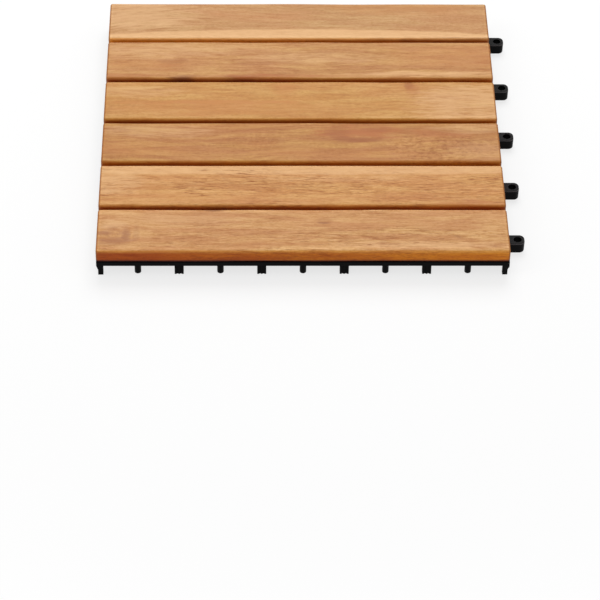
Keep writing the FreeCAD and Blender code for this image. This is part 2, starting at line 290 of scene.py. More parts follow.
def makeSky(look):
    # white to look at, and of the look's strength for the light that it gives
    paint = Paint(bpy.data.worlds.new("studio"))
    glow = directRay(paint) * (1 - look["strength"]) + look["strength"]
    sky = paint.node("Background", None, {"Color": look["colour"], "Strength": glow})
    paint.node("OutputWorld", None, {"Surface": sky})
    bpy.context.scene.world = paint.owner


makeSky(lightLook["sky"])
makeLamp("keyLight", lightLook["key"])
makeLamp("fillLight", lightLook["fill"])
bpy.context.scene.view_settings.view_transform = "Standard"
print("floor and light set")


def skin(mesh, rings):
    # a closed skin over rings of points, the first and the last ring filled
    rows = [[mesh.verts.new(point) for point in ring] for ring in rings]
    for before, after in zip(rows[:-1], rows[1:]):
        for k in range(len(before)):
            n = (k + 1) % len(before)
            mesh.faces.new((before[k], before[n], after[n], after[k]))
    mesh.faces.new(list(reversed(rows[0])))
    mesh.faces.new(rows[-1])


def markSharp(mesh, angle):
    for edge in mesh.edges:
        edge.smooth = edge.calc_face_angle(0) < angle


def addPiece(name, mesh, material):
    # a finished mesh as an object, shaded smooth but for its sharp edges
    data = bpy.data.meshes.new(name)
    mesh.to_mesh(data)
    mesh.free()
    for face in data.polygons:
        face.use_smooth = True
    data.materials.append(material)
    piece = bpy.data.objects.new(name, data)
    bpy.context.scene.collection.objects.link(piece)
    return piece


def evenNormals(piece, keepSharp):
    # large faces stay flat to the light, and the turn is left to the small ones
    even = piece.modifiers.new("evenNormals", "WEIGHTED_NORMAL")
    even.keep_sharp = keepSharp
    even.weight = 100


# Oiled acacia. Lengths are millimetres: along a slat from its left end, across it from
# its near edge, and up from its underside or, for what is by the top, from its top.
woodLook = {
    "dash": tone(153, 91, 46),
    "pore": tone(110, 56, 22),
    "endGrain": tone(158, 98, 50),
    "endRing": tone(104, 56, 26),
    "underside": tone(170, 118, 70),
    "spot": tone(96, 40, 12),
    "brown": tone(150, 84, 36),
    "knot": tone(152, 94, 58),
    "rust": tone(172, 98, 46),
    "rose": tone(196, 132, 82),
    "amber": tone(190, 124, 62),
    "pale": tone(222, 176, 126),
    "sapwood": tone(226, 178, 124),
    "streakTint": (0.8, 0.68, 0.5, 1.0),
    "fibreTint": (0.84, 0.74, 0.58, 1.0),
    "sheenTint": (1.11, 1.155, 1.3, 1.0),
    # painted highlights on the top's rims and on the rounding, then the rounding's darker
    # start of the sides' tone, which is partly painted shade
    "rimHighlightTint": (1.16, 1.22, 1.3, 1.0),
    "roundHighlightTint": (1.4, 1.18, 0.7, 1.0),
    "dimTint": (1.0, 0.84, 0.56, 1.0),
    # painted shade low down in the gaps between the slats
    "creviceShade": (0.16, 0.08, 0.05, 1.0),
    # a noise is the line that it follows, its cycles a millimetre along and across
    # that line, its detail, its offset along and its roughness
    "noises": {
        "drift": ("across", 0.011, 0.03, 2.0, 0.0, 0.55),
        "ripple": ("across", 0.05, 0.13, 2.0, 9.0, 0.55),
        "cloud": ("across", 0.02, 0.07, 2.0, 41.0, 0.55),
        "curl": ("across", 0.36, 0.16, 3.0, 71.0, 0.55),
        "hue": ("across", 0.01, 0.04, 2.0, 21.0, 0.55),
        "flame": ("side", 0.02, 0.17, 3.0, 33.0, 0.55),
        "streak": ("side", 0.055, 0.6, 5.0, 5.0, 0.62),
        "fibre": ("side", 0.17, 1.5, 4.0, 13.0, 0.65),
        "porous": ("side", 0.2, 2.6, 2.0, 63.0, 0.5),
        "fleck": ("side", 0.42, 0.95, 2.0, 97.0, 0.6),
        "quilt": ("side", 0.26, 0.42, 2.0, 105.0, 0.65),
        "dashed": ("straight", 0.1, 0.95, 2.0, 55.0, 0.6),
        "pin": ("straight", 0.06, 1.3, 3.0, 88.0, 0.65),
    },
    # the noises of the growth rings, along and out from their heart, and of the pores
    # that the ends show
    "rings": {"along": 0.004, "out": 0.32, "slice": 3.0, "detail": 3.0, "rough": 0.6},
    "endPores": {"rate": 1.5, "detail": 2.0, "rough": 0.6},
    "seedStep": 37.0,  # from one slat's noises to the next one's
    # how far noises push a line, a limit or an outline aside
    "wavers": {
        "bend": {"drift": 10.0, "ripple": 2.0},
        "straight": {"drift": 6.0},
        "zone": {"drift": 1.5},
        "band": {"ripple": 3.0},
        "markLine": {"drift": 5.0},
        "mark": {"ripple": 1.6, "streak": 3.0},
        "knot": {"ripple": 1.2},
        "coil": {"streak": 9.0, "curl": 3.0},
        "rimSide": {"ripple": 3.0},
        "rimEnd": {"ripple": 2.0},
        "sides": {"ripple": 1.2, "streak": 1.2},
    },
    # from where to where a value steps and, where it isn't from 0 to 1, to what
    "steps": {
        "slant": (0.0, 170.0, 1.0, 0.0),
        "zone": (0.3, 1.4),
        "patch": (0.44, 0.62, 0.25, 1.0),
        "dash": (0.54, 0.68),
        "pore": (0.54, 0.68),
        "flame": (0.38, 0.64),
        "hue": (0.4, 0.62, 0.0, 0.22),
        "curl": (0.4, 0.64),
        "curlCloud": (0.45, 0.62, 0.1, 0.5),
        "fineDark": (0.5, 0.64),
        "finePale": (0.5, 0.36),
        "band": (-1.2, 1.6),
        "bandFibre": (0.3, 0.8, 1.0, 0.6),
        "mark": (-0.2, 1.4),
        "knot": (0.1, 1.2),
        "coil": (-0.3, 1.0),
        "rimSide": (5.6, 2.6),
        "rimEnd": (3.4, 2.0, 0.0, 0.6),
        "rimTop": (-1.2, -0.4),
        "turn": (-0.05, -0.7),
        "sides": (0.2, -3.3),
        "mottleFibre": (0.5, 0.7),
        "mottleCloud": (0.4, 0.6),
        "end": (1.6, 0.5),
        "arc": (0.1, 1.0, 0.0, 0.55),
        "endPore": (0.56, 0.68, 0.0, 0.6),
        "under": (0.35, 0.05),
        "underStreak": (0.4, 0.7),
        "creviceShade": (3.0, 1.4),
    },
    # lines in the wood: noise, tint, step and share, times the slat's own strength
    "lines": [
        ("rings", "streakTint", 0.5, 0.68, 0.5),
        ("streak", "streakTint", 0.48, 0.68, 0.7),
        ("fibre", "fibreTint", 0.46, 0.7, 0.8),
        ("streak", "sheenTint", 0.48, 0.3, 0.7),
    ],
    # flecks on top of them, alike on all slats
    "flecks": [
        ("fleck", "fibreTint", 0.5, 0.7, 0.56),
        ("fleck", "sheenTint", 0.5, 0.3, 0.45),
    ],
    "knotReach": (1.6, 1.2),  # how many half sizes off a knot bends the grain
    "knotFall": 2.0,
    "knotPull": 0.8,
    "knotCoils": 9.0,
    "pinShare": 0.9,
    "dashShare": 0.85,
    "poreShare": 0.36,
    "mottleShare": 0.4,
    "endShare": 0.85,
    "arcRate": 2.6,
    "arcRipple": 5.0,
    "roughness": 0.5,
    "fibreRough": 0.3,
    "dashRough": 0.15,
    "endRough": 0.2,
    "fibreRelief": 0.4,
    "streakRelief": 0.6,
    "dashRelief": 0.6,
    "poreRelief": 0.8,
    "bumpStrength": 0.25,
    "bumpHeight": 0.0003,
    "specular": 0.22,
}

# What tells each slat from the next, from the back of the tile to its front.
# honey, umber: its two tones; rim: how strong the painted highlight along its top's rims
# and on their rounding is; sides: tints of its sawn sides at the left end and at the right,
# darker partly from oil and partly as painted shade; slant: how far the grain runs out of
# true; heart: height and place across of the growth rings' middle; lines, dashes, ripple:
# how strong its lines, dark dashes and curls are; band: a strip of sapwood, with its
# limit across at the ends, how much further it is half way and which side is pale.
# A busy zone, full of dashes, a curly one and a knot are (along, across, half length,
# half width, strength). A mark has the name of its tone before its strength.
slatLooks = [
    {
        "honey": tone(194, 149, 95),
        "umber": tone(185, 135, 83),
        "rim": 0.5,
        "sides": ((1.22, 0.72, 0.13, 1.0), (0.76, 0.33, 0.04, 1.0)),
        "slant": 0.13,
        "heart": (-90.0, 14.0),
        "lines": 0.75,
        "dashes": 0.18,
        "ripple": 0.5,
        "band": {"across": 5.6, "bulge": 7.0, "side": -1, "strength": 0.85},
        "busy": [],
        "curly": [],
        "marks": [
            (20.0, 30.0, 56.0, 20.0, "pale", 0.55),
            (120.0, 30.0, 60.0, 10.0, "rose", 0.22),
            (230.0, 40.0, 60.0, 9.0, "amber", 0.4),
            (276.0, -0.5, 56.0, 2.6, "spot", 0.5),
            (200.0, -0.5, 50.0, 2.2, "spot", 0.25),
        ],
        "knots": [],
    },
    {
        "honey": tone(199, 149, 87),
        "umber": tone(185, 129, 72),
        "rim": 0.0,
        "sides": ((0.62, 0.24, 0.03, 1.0), (0.8, 0.4, 0.06, 1.0)),
        "slant": 0.0,
        "heart": (-34.0, 22.0),
        "lines": 0.95,
        "dashes": 0.36,
        "ripple": 0.4,
        "band": None,
        "busy": [(180.0, 24.0, 120.0, 16.0, 0.3)],
        "curly": [],
        "marks": [
            (24.0, 18.0, 40.0, 6.0, "amber", 0.3),
            (30.0, 34.0, 60.0, 12.0, "pale", 0.25),
            (270.0, 30.0, 60.0, 14.0, "amber", 0.3),
            (42.0, 10.0, 16.0, 4.0, "rust", 0.2),
            (51.0, 20.5, 13.0, 3.4, "brown", 0.42),
            (58.0, 24.0, 6.0, 3.0, "brown", 0.3),
            (47.0, 16.0, 12.0, 2.4, "rust", 0.3),
            (113.0, 18.5, 20.0, 2.6, "brown", 0.4),
            (134.0, 20.5, 16.0, 1.8, "brown", 0.3),
            (12.0, 2.4, 30.0, 3.0, "rust", 0.5),
            (57.0, 0.4, 12.0, 2.2, "spot", 0.75),
            (61.0, 2.6, 9.0, 2.0, "spot", 0.3),
            (106.0, 1.4, 20.0, 2.8, "spot", 0.6),
            (126.0, 2.8, 46.0, 3.0, "rust", 0.7),
            (160.0, 4.0, 60.0, 2.0, "rust", 0.35),
            (290.0, 20.0, 24.0, 14.0, "rust", 0.35),
            (262.0, 6.0, 74.0, 3.4, "sapwood", 0.6),
            (160.0, 26.0, 60.0, 8.0, "pale", 0.3),
            (70.0, 36.0, 70.0, 8.0, "pale", 0.2),
        ],
        "knots": [],
    },
    {
        "honey": tone(200, 150, 80),
        "umber": tone(191, 134, 64),
        "rim": 0.15,
        "sides": ((0.53, 0.22, 0.03, 1.0), (0.7, 0.37, 0.065, 1.0)),
        "slant": 0.0,
        "heart": (-50.0, 30.0),
        "lines": 0.85,
        "dashes": 0.26,
        "ripple": 0.6,
        "band": None,
        "busy": [(250.0, 30.0, 50.0, 16.0, 0.25)],
        "curly": [],
        "marks": [
            (234.0, 42.0, 4.0, 6.5, "brown", 0.6),
            (237.0, 35.0, 6.0, 8.0, "rust", 0.4),
            (246.0, 31.0, 9.0, 3.0, "rust", 0.22),
            (137.0, 38.0, 11.0, 12.0, "amber", 0.6),
            (74.0, 20.5, 100.0, 3.0, "amber", 0.8),
            (110.0, 12.0, 110.0, 9.0, "amber", 0.42),
            (280.0, 20.0, 46.0, 24.0, "pale", 0.55),
            (26.0, 34.0, 40.0, 7.0, "pale", 0.35),
            (270.0, 3.0, 60.0, 3.0, "sapwood", 0.4),
        ],
        "knots": [],
    },
    {
        "honey": tone(192, 140, 73),
        "umber": tone(174, 115, 55),
        "rim": 0.2,
        "sides": ((0.98, 0.54, 0.08, 1.0), (0.98, 0.58, 0.09, 1.0)),
        "slant": -0.04,
        "heart": (-22.0, 10.0),
        "lines": 0.78,
        "dashes": 0.36,
        "ripple": 1.0,
        "band": None,
        "busy": [(60.0, 24.0, 60.0, 12.0, 0.3)],
        "curly": [(256.0, 16.0, 46.0, 18.0, 1.0)],
        "marks": [
            (196.0, 35.0, 36.0, 9.0, "rust", 0.85),
            (190.0, 25.5, 24.0, 3.6, "brown", 0.85),
            (178.0, 35.0, 10.0, 8.0, "brown", 0.42),
            (206.0, 38.0, 14.0, 4.0, "brown", 0.36),
            (254.0, 32.0, 26.0, 7.0, "rust", 0.55),
            (262.0, 35.0, 12.0, 3.0, "brown", 0.3),
            (118.0, 20.0, 22.0, 5.0, "rust", 0.3),
            (95.0, 40.0, 50.0, 5.0, "rust", 0.2),
            (40.0, 36.0, 50.0, 8.0, "pale", 0.35),
            (276.0, 40.0, 30.0, 7.0, "pale", 0.35),
            (286.0, 14.0, 30.0, 12.0, "pale", 0.25),
            (26.0, 12.0, 40.0, 8.0, "amber", 0.3),
            (170.0, 10.0, 60.0, 6.0, "amber", 0.25),
        ],
        "knots": [],
    },
    {
        "honey": tone(211, 158, 92),
        "umber": tone(201, 142, 77),
        "rim": 0.0,
        "sides": ((0.54, 0.21, 0.02, 1.0), (0.56, 0.24, 0.03, 1.0)),
        "slant": 0.0,
        "heart": (-60.0, 34.0),
        "lines": 1.0,
        "dashes": 1.0,
        "ripple": 0.4,
        "band": {"across": 36.5, "bulge": -1.0, "side": 1, "strength": 0.72},
        "busy": [(130.0, 24.0, 110.0, 14.0, 1.0), (262.0, 16.0, 46.0, 14.0, 0.9)],
        "curly": [],
        "marks": [
            (8.0, 26.0, 30.0, 14.0, "pale", 0.45),
            (110.0, 22.0, 100.0, 5.0, "brown", 0.16),
            (245.0, 8.0, 60.0, 6.0, "rust", 0.34),
            (60.0, 12.0, 50.0, 4.0, "amber", 0.3),
            (120.0, 5.0, 80.0, 4.0, "rust", 0.2),
            (170.0, 30.0, 60.0, 4.0, "pale", 0.2),
            (284.0, 1.6, 34.0, 4.6, "rust", 0.5),
        ],
        "knots": [],
    },
    {
        "honey": tone(209, 160, 100),
        "umber": tone(193, 137, 81),
        "rim": 0.65,
        "sides": ((0.76, 0.28, 0.025, 1.0), (1.2, 0.75, 0.09, 1.0)),
        "slant": 0.0,
        "heart": (-40.0, 18.0),
        "lines": 0.95,
        "dashes": 0.75,
        "ripple": 0.5,
        "band": None,
        "busy": [(210.0, 16.0, 100.0, 12.0, 0.95), (120.0, 24.0, 60.0, 12.0, 0.6)],
        "curly": [],
        "marks": [
            (13.0, 28.0, 12.0, 6.0, "pale", 0.5),
            (5.0, 19.5, 9.0, 2.4, "knot", 0.6),
            (13.0, 10.5, 14.0, 5.0, "knot", 0.62),
            (21.5, 19.0, 3.4, 8.0, "knot", 0.65),
            (29.0, 22.0, 2.6, 14.0, "knot", 0.2),
            (86.0, 46.2, 11.0, 3.4, "spot", 0.8),
            (80.0, 42.0, 16.0, 3.0, "brown", 0.25),
            (166.0, 33.5, 6.0, 4.0, "brown", 0.3),
            (165.0, 31.0, 5.0, 0.9, "pore", 0.5),
            (226.0, 30.0, 40.0, 3.0, "rust", 0.2),
            (244.0, 6.5, 70.0, 4.0, "sapwood", 0.6),
            (60.0, 34.0, 50.0, 8.0, "pale", 0.25),
            (120.0, 8.0, 60.0, 4.0, "amber", 0.2),
        ],
        "knots": [(15.0, 20.0, 15.0, 13.0, 0.3)],
    },
]


class Board:
    # one slat's wood: where a point lies in it, and the noises that mark it there
    def __init__(self, place, looks, box):
        # box is the slat's own, so that its marks sit where they do on the real one
        low, high = (Vector(corner) * 1000 for corner in box)
        paint = Paint(bpy.data.materials.new(f"oiledWood{place}"))
        self.paint = paint
        self.looks = looks
        self.length = high.x - low.x
        width = high.y - low.y
        x, y, z = paint.split(paint.millimetres())
        self.along = x - low.x
        self.across = y - low.y
        self.height = z - low.z
        self.rise = z - high.z
        self.fromSide = paint.scalar("MINIMUM", self.across, width - self.across)
        self.fromEnd = paint.scalar("MINIMUM", self.along, self.length - self.along)
        self.shift = woodLook["seedStep"] * place
        self.noises = {}
        self.side = self.across + self.bend()
        self.straight = self.across + self.waver("straight")

        # growth rings round a heart below the slat, so that the ends show arcs
        heartZ, heartY = looks["heart"]
        outY = self.side - heartY
        outZ = self.height - heartZ
        self.radius = (outY * outY + outZ * outZ) ** 0.5
        rings = woodLook["rings"]
        there = paint.point(
            self.along * rings["along"] + self.shift,
            self.radius * rings["out"],
            rings["slice"],
        )
        self.noises["rings"] = paint.noise(there, 1.0, rings["detail"], rings["rough"])

        patch = self.step("patch", self.noise("cloud")) * looks["dashes"]
        for zone in looks["busy"]:
            patch = paint.scalar("MAXIMUM", patch, self.within(zone))
        self.patch = patch
        self.dash = self.step("dash", self.noise("dashed")) * patch
        self.pore = self.step("pore", self.noise("porous")) * patch
        self.endShare = self.step("end", self.fromEnd)

    def noise(self, name):
        # made when it is first asked for
        if name not in self.noises:
            line, alongRate, acrossRate, detail, offset, rough = woodLook["noises"][name]
            there = self.paint.point(
                self.along * alongRate + (self.shift + offset),
                getattr(self, line) * acrossRate,
                self.height * acrossRate,
            )
            self.noises[name] = self.paint.noise(there, 1.0, detail, rough)
        return self.noises[name]

    def waver(self, name):
        parts = woodLook["wavers"][name].items()
        return sum((self.noise(noise) - 0.5) * reach for noise, reach in parts)

    def step(self, name, source, *ends):
        return self.paint.step(source, *woodLook["steps"][name], *ends)

    def tinted(self, amount, colour, name):
        return self.paint.blend(amount, colour, woodLook[name], "MULTIPLY")

    def offset(self, spot, line, stretch=(1.0, 1.0)):
        # how many half sizes of a spot a point is from its middle, along and across
        middleX, middleY, halfLong, halfWide = spot
        dx = (self.along - middleX) / (halfLong * stretch[0])
        dy = (line - middleY) / (halfWide * stretch[1])
        return dx, dy

    def within(self, zone):
        *spot, strength = zone
        dx, dy = self.offset(spot, self.across)
        away = dx * dx + dy * dy + self.waver("zone")
        return self.step("zone", away, strength, 0.0)

    def bend(self):
        # how far the grain leaves the slat's own direction
        bend = self.waver("bend")
        slant = self.looks["slant"]
        if slant:
            # it runs out of true at the left end and settles further on
            bend = bend - self.along * slant * self.step("slant", self.along)
        for *spot, _ in self.looks["knots"]:
            dx, dy = self.offset(spot, self.across, woodLook["knotReach"])
            fall = 1 + (dx * dx + dy * dy) * woodLook["knotFall"]
            bend = bend - (self.across - spot[1]) / fall * woodLook["knotPull"]
        return bend


def woodFigure(board):
    # the wood before its marks: two tones with rings, streaks, fibres and curls
    paint = board.paint
    looks = board.looks
    flame = board.step("flame", board.noise("flame"))
    colour = paint.blend(flame, looks["umber"], looks["honey"])
    colour = paint.blend(board.step("hue", board.noise("hue")), colour, woodLook["rose"])
    for table, strength in (("lines", looks["lines"]), ("flecks", 1.0)):
        for noise, tint, low, high, share in woodLook[table]:
            amount = paint.step(board.noise(noise), low, high, 0.0, share * strength)
            colour = board.tinted(amount, colour, tint)
    curly = board.step("curlCloud", board.noise("cloud")) * looks["ripple"]
    curl = board.step("curl", board.noise("curl"))
    colour = board.tinted(curl * curly, colour, "fibreTint")
    for tint, fine in (("fibreTint", "fineDark"), ("sheenTint", "finePale")):
        amount = board.step(fine, board.noise("pin")) * board.patch
        colour = board.tinted(amount * woodLook["pinShare"], colour, tint)
        for zone in looks["curly"]:
            amount = board.step(fine, board.noise("quilt")) * board.within(zone)
            colour = board.tinted(amount, colour, tint)
    return colour


def woodMarks(board, colour):
    # the band of sapwood, then the marks, the knots, the dashes and the pores
    paint = board.paint
    looks = board.looks
    band = looks["band"]
    if band:
        half = board.length / 2
        off = (board.along - half) / half
        limit = (1 - off * off) * band["bulge"] + band["across"] + board.waver("band")
        inside = board.step("band", (board.across - limit) * band["side"])
        inside = inside * board.step("bandFibre", board.noise("fibre"))
        colour = paint.blend(inside * band["strength"], colour, woodLook["sapwood"])
    line = board.across + board.waver("markLine")
    ragged = board.waver("mark")
    for *spot, name, strength in looks["marks"]:
        dx, dy = board.offset(spot, line)
        away = dx * dx + dy * dy + ragged
        share = board.step("mark", away, strength, 0.0)
        colour = paint.blend(share, colour, woodLook[name])
    for *spot, strength in looks["knots"]:
        dx, dy = board.offset(spot, board.across)
        away = (dx * dx + dy * dy) ** 0.5 + board.waver("knot")
        turn = paint.scalar("ARCTAN2", dy, dx)
        coil = away * woodLook["knotCoils"] - turn + board.waver("coil")
        share = board.step("coil", paint.scalar("SINE", coil))
        share = share * board.step("knot", away, strength, 0.0)
        colour = paint.blend(share, colour, woodLook["knot"])
    colour = paint.blend(board.dash * woodLook["dashShare"], colour, woodLook["dash"])
    return paint.blend(board.pore * woodLook["poreShare"], colour, woodLook["pore"])


def woodSides(board, colour):
    # the top gets a painted highlight along its rims; the sawn sides took more oil than it
    # did, and their darker tone is partly painted shade
    paint = board.paint
    looks = board.looks
    # painted highlight: paler within a few millimetres of the top's long edges and ends, on
    # the top and the upper rounding
    rim = board.step("rimSide", board.fromSide + board.waver("rimSide"))
    rim = rim + board.step("rimEnd", board.fromEnd + board.waver("rimEnd"))
    rim = rim * board.step("rimTop", board.rise)
    colour = board.tinted(rim * looks["rim"], colour, "rimHighlightTint")
    # on the rounding, a tint from a darker start of the sides' tone up to a painted
    # highlight, as strong as the slat's rims
    turnTint = [
        dim + (lit - dim) * looks["rim"]
        for dim, lit in zip(woodLook["dimTint"], woodLook["roundHighlightTint"])
    ]
    turned = board.step("turn", board.rise)
    colour = paint.blend(turned, colour, turnTint, "MULTIPLY")
    # the sides' tints: the oil that they took up, and painted shade on these faces that
    # turn from the light
    sideShare = board.step("sides", board.rise + board.waver("sides")) * turned
    left, right = (
        [full / part for full, part in zip(whole, turnTint)] for whole in looks["sides"]
    )
    sideOilAndShadeTint = paint.blend(paint.step(board.along, 0.0, board.length), left, right)
    colour = paint.blend(sideShare, colour, sideOilAndShadeTint, "MULTIPLY")
    mottle = board.step("mottleFibre", board.noise("fibre")) * sideShare
    mottle = mottle * board.step("mottleCloud", board.noise("cloud"))
    return paint.blend(mottle * woodLook["mottleShare"], colour, woodLook["pore"])


def woodEnds(board, colour):
    # the sawn ends show the growth rings as arcs, with pores between them
    paint = board.paint
    grain = woodLook["endPores"]
    rate = grain["rate"]
    turns = board.radius * woodLook["arcRate"]
    turns = turns + board.noise("ripple") * woodLook["arcRipple"]
    arcs = board.step("arc", paint.scalar("SINE", turns))
    there = paint.point(board.shift, board.across * rate, board.height * rate)
    pores = paint.noise(there, 1.0, grain["detail"], grain["rough"])
    endTone = paint.blend(arcs, woodLook["endGrain"], woodLook["endRing"])
    endTone = paint.blend(board.step("endPore", pores), endTone, woodLook["endRing"])
    return paint.blend(board.endShare * woodLook["endShare"], colour, endTone)


def woodUnderside(board, colour):
    # dull beneath, and with painted shade low down on the sides, in the gaps between the
    # slats
    paint = board.paint
    under = board.step("under", board.height)
    # painted shade a few millimetres above the underside, on the lower rounding
    creviceShade = board.step("creviceShade", board.height) * (1 - under)
    colour = board.tinted(creviceShade, colour, "creviceShade")
    colour = paint.blend(under, colour, woodLook["underside"])
    streaks = board.step("underStreak", board.noise("streak"))
    return paint.blend(under * streaks, colour, woodLook["dash"])


def makeWood(place, looks, box):
    board = Board(place, looks, box)
    colour = woodFigure(board)
    for layer in (woodMarks, woodSides, woodEnds, woodUnderside):
        colour = layer(board, colour)
    fibre = board.noise("fibre")
    roughness = woodLook["roughness"] + (fibre - 0.5) * woodLook["fibreRough"]
    roughness = roughness + board.dash * woodLook["dashRough"]
    roughness = roughness + board.endShare * woodLook["endRough"]
    relief = fibre * woodLook["fibreRelief"]
    relief = relief + board.noise("streak") * woodLook["streakRelief"]
    relief = relief - board.dash * woodLook["dashRelief"]
    relief = relief - board.pore * woodLook["poreRelief"]
    return board.paint.surface(
        Base_Color=colour,
        Roughness=roughness,
        Normal=board.paint.bump(woodLook, relief),
        Specular_IOR_Level=woodLook["specular"],
    )


# Each slat is a planed board with hand-eased edges, a little uneven along it.
slatShape = {
    "round": 2.0 * mm,
    "leastRound": 0.15 * mm,
    "endRound": 1.7 * mm,
    "unevenness": 0.45 * mm,
    "waves": 3,  # added up to make an edge's unevenness
    "waveRates": (0.02, 0.09),  # radians a millimetre
    "sectionStep": 4.0 * mm,
    "cornerSteps": 6,
    "endSteps": 5,
}


def slatStations(length, shape):
    # places along a slat, each with how far its section is drawn in there
    endRound = shape["endRound"]
    ends = []
    for k in range(shape["endSteps"] + 1):
        angle = math.pi / 2 * (1 - k / shape["endSteps"])
        ends.append((endRound * (1 - math.sin(angle)), endRound * (1 - math.cos(angle))))
    straight = length - 2 * endRound
    count = round(straight / shape["sectionStep"])
    middle = [(endRound + straight * k / count, 0.0) for k in range(1, count)]
    return ends + middle + [(length - away, inset) for away, inset in reversed(ends)]


def slatSection(halfWide, thick, radii, inset, shape):
    # a rounded rectangle in y and z; radii go round from the near lower corner
    corners = [
        (-halfWide, 0.0, 1, 1, math.pi),
        (halfWide, 0.0, -1, 1, math.pi * 1.5),
        (halfWide, thick, -1, -1, 0.0),
        (-halfWide, thick, 1, -1, math.pi / 2),
    ]
    steps = shape["cornerSteps"]
    points = []
    for (y, z, inY, inZ, start), full in zip(corners, radii):
        radius = max(full - inset, shape["leastRound"])
        centreY = y + inY * (inset + radius)
        centreZ = z + inZ * (inset + radius)
        for k in range(steps + 1):
            angle = start + math.pi / 2 * k / steps
            points.append(
                (centreY + radius * math.cos(angle), centreZ + radius * math.sin(angle))
            )
    return points


def makeSlat(place, shape):
    low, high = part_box(f"slat_{place}")
    dice = random.Random(place)
    middleY = (low.y + high.y) / 2
    halfWide = (high.y - low.y) / 2
    thick = high.z - low.z
    edges = [
        [
            (dice.uniform(*shape["waveRates"]), dice.uniform(0, math.tau))
            for _ in range(shape["waves"])
        ]
        for _ in range(4)
    ]
    rings = []
    for along, inset in slatStations(high.x - low.x, shape):
        radii = []
        for waves in edges:
            swing = sum(math.sin(along * 1000 * rate + start) for rate, start in waves)
            radii.append(shape["round"] + shape["unevenness"] * swing / shape["waves"])
        section = slatSection(halfWide, thick, radii, inset, shape)
        rings.append([(low.x + along, middleY + y, low.z + z) for y, z in section])
    mesh = bmesh.new()
    skin(mesh, rings)
    bmesh.ops.recalc_face_normals(mesh, faces=mesh.faces)
    wood = makeWood(place, slatLooks[place - 1], (low, high))
    slat = addPiece(f"woodSlat{place}", mesh, wood)
    evenNormals(slat, False)
    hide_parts(f"slat_{place}")
    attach(slat, "root")


for place in range(1, len(slatLooks) + 1):
    makeSlat(place, slatShape)
print("slats made:", len(slatLooks))

# The moulded grid keeps its solid's shape and gets the soft edges of a moulding.
gridLook = {
    "colour": tone(9, 8, 9),
    "worn": tone(16, 14, 15),
    # painted highlight on the loops' soft edges
    "edge": tone(86, 82, 83),
    "flow": (0.035, 3.0, 0.55),  # noises: cycles a millimetre, detail, roughness
    "grain": (2.6, 2.0, 0.6),
    "wornStep": (0.4, 0.7, 0.0, 0.6),
    "edgeHighlightStep": (0.06, 0.2, 0.0, 0.85),
    "loopStep": (0.3, 0.8),  # mm outside the rim, where the loops begin
    "roughness": 0.4,
    "flowRough": 0.16,
    "grainRough": 0.1,
    "bumpStrength": 0.12,
    "bumpHeight": 0.0001,
    "specular": 0.05,
    "weld": 0.002 * mm,
    "flatAngle": math.radians(0.5),
    "sharpAngle": math.radians(60),
    "loopRound": 0.9 * mm,
    "loopSegments": 4,
    "edgeRound": 0.22 * mm,
    "edgeSegments": 2,
    "loops": 5,  # to a side
    "pitch": 60 * mm,
    "loopOut": 7.8 * mm,  # rim to the middle of a loop's hole
    "holeRadius": 3.0 * mm,
    "holeMargin": 0.15 * mm,
    "outside": 0.2 * mm,  # off the rim, what counts as a loop
    "level": 0.01 * mm,  # what an edge may rise and still count as level
    "cornerReach": 7.0 * mm,  # the corner legs' gussets, which stay crisp
    "gussetDown": 3.4 * mm,  # below the moulding's top
    "gussetMargin": 0.5 * mm,
}


def makePlastic(look):
    paint = Paint(bpy.data.materials.new("blackPlastic"))
    there = paint.millimetres()
    flow = paint.noise(there, *look["flow"])
    grain = paint.noise(there, *look["grain"])
    worn = paint.step(flow, *look["wornStep"])
    colour = paint.blend(worn, look["colour"], look["worn"])
    # a painted highlight on the loops' soft edges, where the surface faces up and outwards
    x, y = paint.split(there)[:2]
    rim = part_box("slat_1")[1] * 1000
    out = paint.scalar("MAXIMUM", x - rim.x, y - rim.y)
    facing = paint.node("NewGeometry", None, None, "Normal")
    up = paint.split(facing)[2]
    # painted highlight where the normal turns from up to outwards, on the loops only
    paintedEdgeHighlight = paint.step(up * (1 - up), *look["edgeHighlightStep"])
    paintedEdgeHighlight = paintedEdgeHighlight * paint.step(out, *look["loopStep"])
    colour = paint.blend(paintedEdgeHighlight, colour, look["edge"])
    roughness = look["roughness"] + (flow - 0.5) * look["flowRough"]
    roughness = roughness + (grain - 0.5) * look["grainRough"]
    return paint.surface(
        Base_Color=colour,
        Roughness=roughness,
        Normal=paint.bump(look, grain),
        Specular_IOR_Level=look["specular"],
    )


def roundEdges(mesh, edges, size, segments):
    bmesh.ops.bevel(
        mesh, geom=edges, offset=size, segments=segments, profile=0.5,
        affect="EDGES", clamp_overlap=False,
    )


